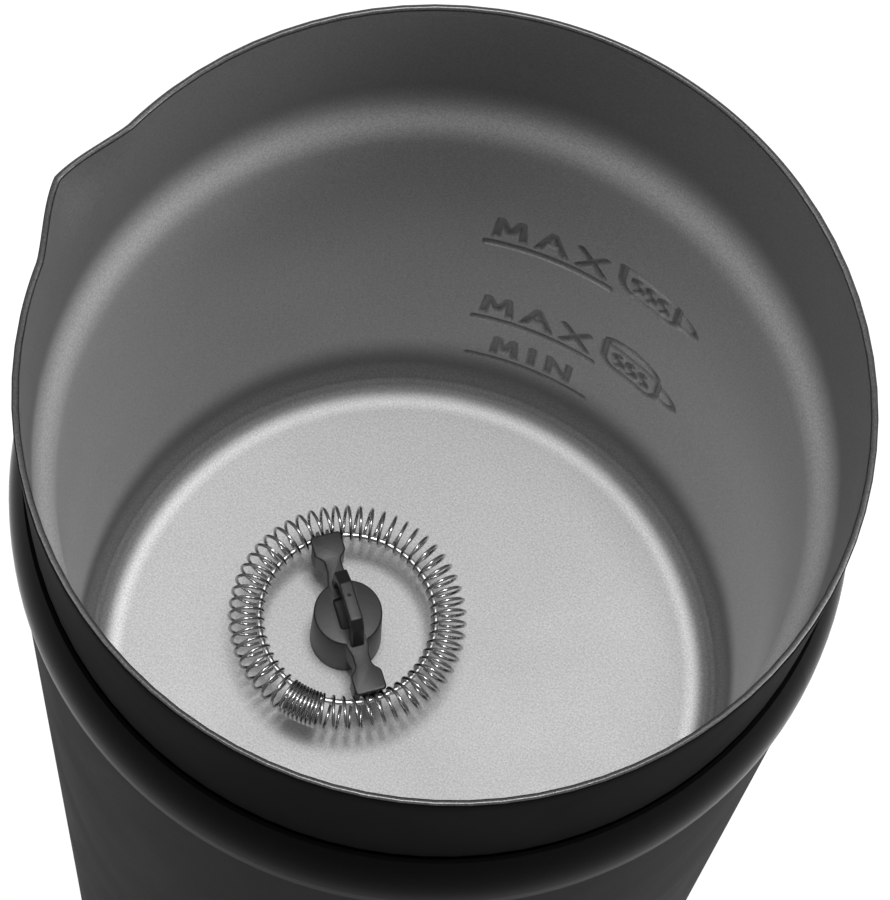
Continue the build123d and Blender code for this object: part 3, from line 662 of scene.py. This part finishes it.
def cup_section(sizes):
    """Half section of the cup as radius and height: inside from the floor up, then outside down."""
    floor = CUP_LOW.z + sizes.wall
    lip = sizes.wall / 2
    rim = CUP_HIGH.z - lip
    marks = bpy.context.scene.frother_marks
    collar = CUP_HIGH.x - sizes.wall
    shoulder = collar - sizes.collar_taper
    wall = shoulder - sizes.shoulder_step
    foot = wall - sizes.wall_taper
    collar_z = CUP_HIGH.z - sizes.collar_depth
    shoulder_z = collar_z - sizes.shoulder_drop

    def side(grow):
        """One face of the sheet, from the floor's middle to the rim."""
        corners = [(0, floor - grow), (foot + grow, floor - grow), (wall + grow, shoulder_z),
                   (shoulder + grow, collar_z), (collar + grow, rim)]
        radii = [sizes.floor_round + grow, sizes.shoulder_round + grow, sizes.shoulder_round - grow]
        return rounded(corners, radii)

    margin, sign_height = 2 * MM, 10 * MM
    low = floor + marks.low_level - margin
    high = floor + marks.high_level + marks.sign_rise + sign_height
    floor_step, wall_step, bend_step, outside_step = 6 * MM, 4 * MM, 2 * MM, 8 * MM
    inside = side(0.0)
    points = []
    for start, end in zip(inside, inside[1:]):
        if start.y < low and end.y > high:
            cut_low = start.lerp(end, (low - start.y) / (end.y - start.y))
            cut_high = start.lerp(end, (high - start.y) / (end.y - start.y))
            points += divided(start, cut_low, wall_step)
            points += divided(cut_low, cut_high, sizes.fine_step)
            points += divided(cut_high, end, wall_step)
        else:
            points += divided(start, end, floor_step if start.y < low else bend_step)
    lip_steps = 8
    for i in range(lip_steps):
        turn = pi * i / lip_steps
        points.append(Vector((collar + lip - lip * cos(turn), rim + lip * sin(turn))))
    outside = side(sizes.wall)[::-1]
    for start, end in zip(outside, outside[1:]):
        points += divided(start, end, outside_step if start.y < shoulder_z else bend_step)
    points.append(outside[-1])
    return [(p.x, p.y) for p in points]


def spun_cup(sizes, marks):
    """Spins the section clockwise, with finer steps at the marks and at the spout."""
    section = cup_section(sizes)
    wall = CUP_HIGH.x - sizes.shoulder_step
    margin = 3 * MM
    start = marks.start + margin / wall
    fine_span = (marks.line * 2 + 2 * margin) / wall
    spout_span, spout_step, coarse_step = radians(40.0), radians(0.8), radians(4.5)
    to_spout = start - fine_span + pi - spout_span / 2
    to_start = pi - spout_span / 2 - start
    points = [on_wall(radius, start, height) for radius, height in section]
    cup = line_of_edges("cup", points)
    edit(cup)
    spans = [(fine_span, sizes.fine_step / wall), (to_spout, coarse_step),
             (spout_span, spout_step), (to_start, coarse_step)]
    for span, step in spans:
        bpy.ops.mesh.spin(steps=ceil(span / step), angle=span, center=(0, 0, 0), axis=(0, 0, 1))
    bpy.ops.mesh.select_all(action="SELECT")
    bpy.ops.mesh.remove_doubles(threshold=2e-6)
    bpy.ops.mesh.normals_make_consistent(inside=False)
    bpy.ops.object.mode_set(mode="OBJECT")
    return cup


def pull_spout(cup, sizes):
    """Draws the rim out to a pinched spout: straight flanks, then a round for the tip and the feet."""
    edit(cup)
    reach = -CUP_LOW.x - CUP_HIGH.x
    top = CUP_HIGH.z - sizes.wall

    def at_tip(vertex):
        return vertex.co.z > top and vertex.co.x < 0 and abs(vertex.co.y) < 0.1 * MM

    pick(cup, "VERT", at_tip)
    for falloff, share in (("LINEAR", sizes.spout_crease), ("SMOOTH", 1.0 - sizes.spout_crease)):
        bpy.ops.transform.translate(value=(-reach * share, 0, 0), use_proportional_edit=True,
                                    proportional_edit_falloff=falloff,
                                    proportional_size=sizes.spout_width,
                                    use_proportional_connected=False)
    bpy.ops.object.mode_set(mode="OBJECT")


LETTERS = {
    "M": [[(0, 0), (0.12, 1), (0.5, 0.3), (0.88, 1), (1, 0)]],
    "A": [[(0, 0), (0.5, 1), (1, 0)], [(0.22, 0.36), (0.78, 0.36)]],
    "X": [[(0, 0), (1, 1)], [(0, 1), (1, 0)]],
    "I": [[(0.5, 0), (0.5, 1)]],
    "N": [[(0, 0), (0.05, 1), (0.95, 0), (1, 1)]],
}


def word_strokes(word, width, height, gap):
    """Strokes of a word, letter beside letter, as points across and up."""
    strokes = []
    x = 0.0
    for letter in word:
        across = width * (0.3 if letter == "I" else 1.0)
        for stroke in LETTERS[letter]:
            strokes.append([(x + u * across, v * height) for u, v in stroke])
        x += across + gap
    return strokes


def arc(centre, radius_x, radius_y, start, end, steps=10):
    """Points along part of an ellipse, in degrees."""
    points = []
    for i in range(steps + 1):
        turn = radians(start + (end - start) * i / steps)
        points.append((centre[0] + radius_x * cos(turn), centre[1] + radius_y * sin(turn)))
    return points


def cup_sign(frothed):
    """Strokes of a plain cup with rising waves, and a dome of froth if asked, in millimetres."""
    bowl = [(0.2, 6.2), *arc((2.6, 2.6), 2.4, 2.4, 180, 270),
            *arc((6.4, 2.6), 2.4, 2.4, 270, 360), (8.8, 6.2)]
    strokes = [[*bowl, bowl[0]]]
    strokes.append(arc((8.8, 3.9), 3.2, 1.7, 80, -80))
    for x in (2.5, 4.5, 6.5):
        strokes.append([*arc((x, 4.0), 0.55, 0.75, 90, 270, 6), *arc((x, 2.5), 0.55, 0.75, 90, -90, 6)])
    if frothed:
        strokes.append(arc((4.5, 7.1), 4.0, 1.5, 0, 180))
    return [[(u * MM, v * MM) for u, v in stroke] for stroke in strokes]


def mark_strokes(marks):
    """All strokes on the wall as points along it and above the floor."""
    strokes = []
    gap, line_steps = 1.9 * MM, 12
    letter = (marks.line - 2 * MM - 2 * gap) / 3
    # Share of the letters' width, shift along the line, and drops of the lines under the word.
    full, narrow = (1.0, 1.0 * MM, (0.0, 0.5 * MM)), (0.82, 3.2 * MM, (0.0,))
    words = (("MAX", marks.high_level, full), ("MAX", marks.froth_level, full),
             ("MIN", marks.low_level, narrow))
    for word, level, (width, shift, drops) in words:
        for drop in drops:
            strokes.append([(marks.line * i / line_steps, level - drop) for i in range(line_steps + 1)])
        for stroke in word_strokes(word, letter * width, marks.letter_height, gap):
            strokes.append([(u + shift, v + level + marks.letter_gap) for u, v in stroke])
    across = marks.line + marks.sign_gap
    for frothed, level in ((False, marks.high_level), (True, marks.froth_level)):
        up = level + marks.sign_rise
        strokes += [[(u + across, v + up) for u, v in stroke] for stroke in cup_sign(frothed)]
    return strokes


def press_marks(cup, sizes, marks):
    """Presses the level marks outwards into the wall."""
    floor = CUP_LOW.z + sizes.wall
    wall = CUP_HIGH.x - sizes.wall - sizes.collar_taper - sizes.shoulder_step
    foot = wall - sizes.wall_taper
    rise = CUP_HIGH.z - sizes.collar_depth - sizes.shoulder_drop - floor
    lines = []
    for stroke in mark_strokes(marks):
        points = []
        for u, v in stroke:
            radius = foot + (wall - foot) * v / rise
            points.append(on_wall(radius, marks.start - u / radius, floor + v))
        lines.append(line_of_edges("stroke", points))
    fresh()
    for piece in lines:
        piece.select_set(True)
    bpy.context.view_layer.objects.active = lines[0]
    bpy.ops.object.join()
    strokes = lines[0]

    pressed = "pressed"
    group = cup.vertex_groups.new(name=pressed)
    low = floor + sizes.floor_round
    high = floor + rise - sizes.shoulder_round
    inner = [v.index for v in cup.data.vertices
             if low < v.co.z < high and hypot(v.co.x, v.co.y) < wall + sizes.wall / 3]
    group.add(inner, 1.0, "REPLACE")
    activate(cup)
    bpy.ops.object.modifier_add(type="VERTEX_WEIGHT_PROXIMITY")
    near = cup.modifiers[-1]
    near.vertex_group = pressed
    near.target = strokes
    near.proximity_mode = "GEOMETRY"
    near.proximity_geometry = {"EDGE"}
    flank_outside, flank_inside = 0.1 * MM, 0.26 * MM
    near.min_dist = marks.stroke / 2 + flank_outside
    near.max_dist = marks.stroke / 2 - flank_inside
    near.falloff_type = "SMOOTH"
    bpy.ops.object.modifier_apply(modifier=near.name)
    bpy.ops.object.modifier_add(type="DISPLACE")
    press = cup.modifiers[-1]
    press.vertex_group = pressed
    press.mid_level = 0.0
    press.strength = -marks.depth
    bpy.ops.object.modifier_apply(modifier=press.name)
    bpy.data.objects.remove(strokes)
    groove = cup.data.attributes.new("groove", "FLOAT", "POINT")
    for vertex in cup.data.vertices:
        groove.data[vertex.index].value = vertex.groups[0].weight if vertex.groups else 0.0
    cup.vertex_groups.clear()


class FROTHER_OT_cup(bpy.types.Operator):
    """Models the drawn cup with its spout, its pressed level marks and the pin for the whisk"""

    bl_idname = "frother.cup"
    bl_label = "Milk cup"

    def execute(self, context):
        sizes = context.scene.frother_cup
        marks = context.scene.frother_marks
        cup = spun_cup(sizes, marks)
        pull_spout(cup, sizes)
        press_marks(cup, sizes, marks)
        smooth(cup, 40.0)
        coating = coating_material()
        finishes = [coating, cup_black_material(), lip_material()]
        dress(cup, BODY, "cup_coating", finishes, "milk_cup")
        inside, outside, lip = range(3)
        lip_turn, paint_turn = 0.6, 0.2
        for face in cup.data.polygons:
            middle = face.center
            outward = Vector((middle.x, middle.y, 0.0)).normalized().dot(face.normal)
            on_lip = middle.z > CUP_HIGH.z - sizes.wall / 2 and outward < lip_turn
            face.material_index = lip if on_lip else outside if outward > paint_turn else inside
        self.pin(sizes, coating)
        return {"FINISHED"}

    def pin(self, sizes, coating):
        """Adds the pin on which the whisk turns."""
        fresh()
        floor = CUP_LOW.z + sizes.wall
        place = (WHISK_AXIS.x, WHISK_AXIS.y, floor + sizes.pivot_height / 2)
        bpy.ops.mesh.primitive_cylinder_add(vertices=48, radius=sizes.pivot_radius,
                                            depth=sizes.pivot_height, location=place)
        pin = bpy.context.object
        pin.name = "floor_pin"
        settle(pin)
        soften(pin, 0.3 * MM)
        smooth(pin)
        dress(pin, BODY, "cup_coating", [coating])


# Whisk

def arm_outline(sizes, tip):
    """Plan of one arm along +X: root, waist and paddle with rounded corners."""
    start = sizes.paddle_tip - sizes.paddle_length
    waist = (sizes.hub_radius + start) / 2
    flare = sizes.paddle_half - sizes.arm_waist
    upper = [(0, sizes.arm_root), (sizes.hub_radius, sizes.arm_root), (waist, sizes.arm_waist),
             (start, sizes.arm_waist), (start + flare, sizes.paddle_half), (tip, sizes.paddle_half)]
    corners = [*upper, *[(x, -y) for x, y in reversed(upper)]]
    curves = [0.0, 1.2 * MM, 1.2 * MM, 0.9 * MM, 0.9 * MM, 0.5 * MM]
    return rounded(corners, [*curves[1:], *reversed(curves[1:])], 6)


def holder_arm(sizes, top):
    """One arm with its lip over the coil and the webs that hold the hoop."""
    low = top - sizes.arm_thickness
    step = top - sizes.lip_thickness
    body = [(p.x, p.y, low) for p in arm_outline(sizes, sizes.paddle_tip)]
    arm = plate("arm", body, (0, 0, sizes.arm_thickness - sizes.lip_thickness / 2))
    soften(arm, sizes.edge / 2)
    # Sides that lie just inside the lip's keep the union closed.
    arm.scale.y = 0.985
    settle(arm)
    lip = [(p.x, p.y, step) for p in arm_outline(sizes, sizes.paddle_tip + sizes.lip_reach)]
    cover = plate("lip", lip, (0, 0, sizes.lip_thickness))
    soften(cover, sizes.edge)
    combine(arm, cover, "UNION")
    fin_start = sizes.paddle_tip - 2 * sizes.fin_thickness
    fin_end = HOOP_HIGH.x - WHISK_AXIS.x + sizes.fin_thickness
    for side in (-1, 1):
        fresh()
        bpy.ops.mesh.primitive_cube_add(size=1.0, location=((fin_start + fin_end) / 2, 0, WHISK_AXIS.z))
        fin = bpy.context.object
        fin.scale = (fin_end - fin_start, sizes.fin_thickness, sizes.fin_height)
        settle(fin)
        fin.rotation_euler.z = side * pi / sizes.far_turns / 2
        settle(fin)
        combine(arm, fin, "UNION")
    return arm


def loop_outline(sizes, inset):
    """Arch of the lifting loop with sloped shoulders, foot to foot, drawn in by an inset."""
    slope = (sizes.loop_foot - sizes.loop_top) / sizes.loop_height
    foot = sizes.loop_foot - inset
    height = sizes.loop_height - inset
    bend = height - sizes.loop_shoulder * (1.0 - inset / sizes.loop_height)
    side = foot - slope * bend
    near = sizes.loop_flat_near - inset / 2
    far = sizes.loop_flat_far - inset / 3
    corners = [(-foot, 0), (-side, bend), (-near, height), (far, height), (side, bend), (foot, 0)]
    curve = 0.5 * MM
    return rounded(corners, [curve, curve, curve, curve], 5)


def lifting_loop(sizes, top):
    """Strap over the hub."""
    paint_shade = 0.3 * MM
    outline = loop_outline(sizes, 0.0) + loop_outline(sizes, sizes.loop_strip)[::-1]
    half = sizes.loop_width / 2
    points = [(p.x, -half, top + (p.y if p.y > 0 else -paint_shade)) for p in outline]
    loop = plate("loop", points, (0, sizes.loop_width, 0))
    soften(loop, sizes.edge)
    return loop


def moulded_dot(holder, sizes, top):
    """Adds the small dot on the flat of the loop."""
    shift, paint_shade = 0.25 * MM, 0.1 * MM
    fresh()
    bpy.ops.mesh.primitive_uv_sphere_add(segments=20, ring_count=10, radius=sizes.loop_dot,
                                         location=(shift, 0, top + sizes.loop_height - paint_shade))
    settle(bpy.context.object)
    holder.select_set(True)
    bpy.context.view_layer.objects.active = holder
    bpy.ops.object.join()


def holder_hub(sizes, floor):
    """Round hub with draft and rounded edges."""
    top = floor + sizes.hub_top
    low = floor + sizes.hub_low
    fresh()
    bpy.ops.mesh.primitive_cylinder_add(vertices=96, radius=sizes.hub_radius, depth=top - low,
                                        location=(0, 0, (top + low) / 2))
    hub = bpy.context.object
    settle(hub)
    edit(hub)
    pick(hub, "VERT", lambda v: v.co.z < low + MM)
    share = 1.0 + sizes.hub_draft / sizes.hub_radius
    bpy.ops.transform.resize(value=(share, share, 1.0), center_override=(0, 0, low))
    bpy.ops.object.mode_set(mode="OBJECT")
    soften(hub, sizes.edge)
    return hub


class FROTHER_OT_whisk_holder(bpy.types.Operator):
    """Models the whisk holder: hub, two arms, lifting loop and sunk panel"""

    bl_idname = "frother.whisk_holder"
    bl_label = "Whisk holder"

    def execute(self, context):
        sizes = context.scene.frother_whisk
        floor = CUP_LOW.z + context.scene.frother_cup.wall
        top = floor + sizes.hub_top
        holder = holder_hub(sizes, floor)
        holder.name = "whisk_frame"
        for turn in (0.0, pi):
            arm = holder_arm(sizes, top)
            arm.rotation_euler.z = turn
            settle(arm)
            combine(holder, arm, "UNION")
        fresh()
        bpy.ops.mesh.primitive_cube_add(size=1.0, location=(0, 0, top))
        panel = bpy.context.object
        panel.scale = (sizes.recess_length, sizes.recess_width, 2 * sizes.recess_depth)
        settle(panel)
        soften(panel, 2 * sizes.edge)
        combine(holder, panel, "DIFFERENCE")
        combine(holder, lifting_loop(sizes, top), "UNION")
        moulded_dot(holder, sizes, top)
        holder.rotation_euler.z = sizes.arm_angle
        holder.location = (WHISK_AXIS.x, WHISK_AXIS.y, 0.0)
        settle(holder)
        smooth(holder, 30.0)
        dress(holder, WHISK, "whisk_plastic", [whisk_plastic_material()], "whisk_holder")
        return {"FINISHED"}


def coil_points(sizes):
    """Middle line of the coil's wire, with close turns where its two ends meet."""
    near_turns = sizes.before_turns + sizes.after_turns
    near = (pi - sizes.tight_turns * sizes.tight_pitch) / near_turns
    far = pi / sizes.far_turns
    first = sizes.tight_turns // 2
    pitches = [sizes.tight_pitch] * first + [near] * sizes.after_turns
    pitches += [far] * sizes.far_turns + [near] * sizes.before_turns
    pitches += [sizes.tight_pitch] * (sizes.tight_turns - first)
    direction = sizes.arm_angle + pi - sizes.after_turns * near - first * sizes.tight_pitch
    points = []
    for pitch in pitches:
        for i in range(sizes.turn_points):
            part = i / sizes.turn_points
            turn = pi * (1.0 + 2.0 * part)
            radius = sizes.coil_radius + sizes.turn_radius * cos(turn)
            place = on_wall(radius, direction + pitch * part, -sizes.turn_radius * sin(turn))
            points.append(place + WHISK_AXIS)
        direction += pitch
    return points


class FROTHER_OT_coil(bpy.types.Operator):
    """Winds the coil ring from round wire and adds the hoop inside it"""

    bl_idname = "frother.coil"
    bl_label = "Whisk coil"

    def execute(self, context):
        sizes = context.scene.frother_whisk
        points = coil_points(sizes)
        line = bpy.data.curves.new("coil_line", "CURVE")
        line.dimensions = "3D"
        spline = line.splines.new("POLY")
        spline.points.add(len(points) - 1)
        for point, place in zip(spline.points, points):
            point.co = (*place, 1.0)
        spline.use_cyclic_u = True
        line.bevel_depth = sizes.wire
        line.bevel_resolution = 2
        coil = bpy.data.objects.new("coil_ring", line)
        context.scene.collection.objects.link(coil)
        activate(coil)
        bpy.ops.object.convert(target="MESH")
        coil = context.object
        coil.name = "coil_ring"
        smooth(coil, 60.0)
        dress(coil, WHISK, "whisk_steel", [steel_material()], "whisk_coil")
        fresh()
        middle = HOOP_HIGH.x - WHISK_AXIS.x - sizes.hoop_wire
        bpy.ops.mesh.primitive_torus_add(location=WHISK_AXIS, major_segments=180, minor_segments=16,
                                         major_radius=middle, minor_radius=sizes.hoop_wire)
        hoop = context.object
        hoop.name = "hoop_ring"
        settle(hoop)
        smooth(hoop, 60.0)
        dress(hoop, WHISK, "whisk_steel", [hoop_material()], "whisk_hoop")
        return {"FINISHED"}


# Finishes on the nodes

SLOT_OF_NODE = {entry["node"]: entry["material_slot"] for entry in frame["record"]["subparts"]}
PIECE_OF_SLOT = {"whisk_plastic": "whisk_frame", "whisk_steel": "coil_ring", "cup_coating": "cup"}


class FROTHER_OT_finishes(bpy.types.Operator):
    """Gives every piece that keeps its solid a finish of its own"""

    bl_idname = "frother.finishes"
    bl_label = "Finishes"

    def execute(self, context):
        made = plain_materials()
        made["trim_gloss"] = trim_material()
        made["casing_matte"] = casing_material()
        for slot, piece in PIECE_OF_SLOT.items():
            made[slot] = bpy.data.objects[piece].data.materials[0]
        for name, node in frame["nodes"].items():
            slot = SLOT_OF_NODE[name]
            node.data.materials.clear()
            node.data.materials.append(made[slot])
        return {"FINISHED"}


# Stage

def lamp(name, size, watts, place, target):
    """Square area lamp that faces a point."""
    fresh()
    bpy.ops.object.light_add(type="AREA", location=place)
    light = bpy.context.object
    light.name = name
    light.data.shape = "SQUARE"
    light.data.size = size
    light.data.energy = watts
    light.rotation_euler = (Vector(target) - Vector(place)).to_track_quat("-Z", "Y").to_euler()


def seen_directly(tree):
    """One for rays that see the background: from the camera, off a gloss or through glass."""
    path = tree.nodes.new("ShaderNodeLightPath")
    total = path.outputs["Is Camera Ray"]
    for name in ("Is Glossy Ray", "Is Transmission Ray"):
        add = tree.nodes.new("ShaderNodeMath")
        add.operation = "MAXIMUM"
        tree.links.new(total, add.inputs[0])
        tree.links.new(path.outputs[name], add.inputs[1])
        total = add.outputs["Value"]
    return total


def floor_material():
    """Pale floor that shows nearly white and keeps the shadow."""
    material = bpy.data.materials.new("pale_floor")
    material.use_nodes = True
    tree = material.node_tree
    paint = tree.nodes["Principled BSDF"]
    paint.inputs["Base Color"].default_value = (0.85, 0.85, 0.85, 1.0)
    paint.inputs["Roughness"].default_value = 0.9
    paint.inputs["Specular IOR Level"].default_value = 0.0
    glow = tree.nodes.new("ShaderNodeEmission")
    mix = tree.nodes.new("ShaderNodeMixShader")
    glow_share, glow_strength = 0.85, 1.12
    share = tree.nodes.new("ShaderNodeMath")
    share.operation = "MULTIPLY"
    share.inputs[1].default_value = glow_share
    glow.inputs["Strength"].default_value = glow_strength
    tree.links.new(seen_directly(tree), share.inputs[0])
    tree.links.new(share.outputs["Value"], mix.inputs["Fac"])
    tree.links.new(paint.outputs["BSDF"], mix.inputs[1])
    tree.links.new(glow.outputs["Emission"], mix.inputs[2])
    tree.links.new(mix.outputs["Shader"], tree.nodes["Material Output"].inputs["Surface"])
    return material


def room(ambient):
    """Even light from all round, white where it is seen."""
    world = bpy.data.worlds.new("studio")
    bpy.context.scene.world = world
    world.use_nodes = True
    tree = world.node_tree
    dim = tree.nodes["Background"]
    dim.inputs["Strength"].default_value = ambient
    dim.inputs["Color"].default_value = (1.0, 1.0, 1.0, 1.0)
    white = tree.nodes.new("ShaderNodeBackground")
    white.inputs["Color"].default_value = (1.0, 1.0, 1.0, 1.0)
    mix = tree.nodes.new("ShaderNodeMixShader")
    tree.links.new(seen_directly(tree), mix.inputs["Fac"])
    tree.links.new(dim.outputs["Background"], mix.inputs[1])
    tree.links.new(white.outputs["Background"], mix.inputs[2])
    tree.links.new(mix.outputs["Shader"], tree.nodes["World Output"].inputs["Surface"])


class FROTHER_OT_stage(bpy.types.Operator):
    """Sets up the floor, the soft lamps and the camera"""

    bl_idname = "frother.stage"
    bl_label = "Stage"

    def execute(self, context):
        sizes = context.scene.frother_stage
        fresh()
        bpy.ops.mesh.primitive_plane_add(size=sizes.floor, location=(0, 0, CAD_BOX[0].z))
        floor = context.object
        floor.name = "floor"
        floor.data.materials.append(floor_material())
        rim = Vector((0, 0, CUP_HIGH.z))
        lamps = {
            "key": (sizes.key_watts, (0.04, 0.06, 2.0)),
            "right_lamp": (sizes.right_watts, (0.95, 0.25, 0.3)),
            "left_lamp": (sizes.left_watts, (-0.85, -0.55, 0.3)),
            "left_wall_lamp": (sizes.left_wall_watts, (0.65, 0.36, 0.75)),
            "right_wall_lamp": (sizes.right_wall_watts, (-0.65, -0.36, 0.75)),
        }
        for name, (watts, offset) in lamps.items():
            lamp(name, sizes.lamp_side, watts, rim + Vector(offset), rim)
        room(sizes.ambient)
        self.camera(context, sizes)
        context.scene.view_settings.view_transform = "Standard"
        return {"FINISHED"}

    def camera(self, context, sizes):
        """Looks down into the cup from the front, a little turned about the line of sight."""
        bpy.ops.object.camera_add()
        camera = context.object
        camera.data.lens = sizes.lens
        camera.data.sensor_width = 36.0
        right = Vector((0.8723, 0.4852, 0.0599))
        back = Vector((0.1307, -0.3495, 0.9278))
        up = back.cross(right)
        turn = Matrix((right, up, back)).transposed().to_4x4()
        place = Vector((0.05321, -0.14012, CUP_HIGH.z + 0.35496))
        camera.matrix_world = Matrix.Translation(place) @ turn
        camera.data.clip_end = 20.0
        context.scene.camera = camera


class FROTHER_PT_panel(bpy.types.Panel):
    """Lists the sizes, finishes and steps of the frother"""

    bl_idname = "FROTHER_PT_panel"
    bl_label = "Milk frother"
    bl_space_type = "VIEW_3D"
    bl_region_type = "UI"
    bl_category = "Frother"

    def draw(self, context):
        for operator in OPERATORS:
            self.layout.operator(operator.bl_idname)
        for name in SETTINGS:
            box = self.layout.box()
            settings = getattr(context.scene, name)
            for key in settings.__annotations__:
                box.prop(settings, key)


OPERATORS = (FROTHER_OT_cup, FROTHER_OT_whisk_holder, FROTHER_OT_coil, FROTHER_OT_finishes,
             FROTHER_OT_stage)


def register():
    """Registers the settings, the operators and the panel."""
    for name, group in SETTINGS.items():
        bpy.utils.register_class(group)
        setattr(bpy.types.Scene, name, PointerProperty(type=group))
    for operator in OPERATORS:
        bpy.utils.register_class(operator)
    bpy.utils.register_class(FROTHER_PT_panel)


def unregister():
    """Removes what register added."""
    bpy.utils.unregister_class(FROTHER_PT_panel)
    for operator in reversed(OPERATORS):
        bpy.utils.unregister_class(operator)
    for name, group in SETTINGS.items():
        delattr(bpy.types.Scene, name)
        bpy.utils.unregister_class(group)


def main():
    """Builds the looks in order."""
    register()
    grain_group()
    handling_group()
    bpy.ops.frother.cup()
    bpy.ops.frother.whisk_holder()
    bpy.ops.frother.coil()
    bpy.ops.frother.finishes()
    bpy.ops.frother.stage()


if __name__ == "__main__":
    main()
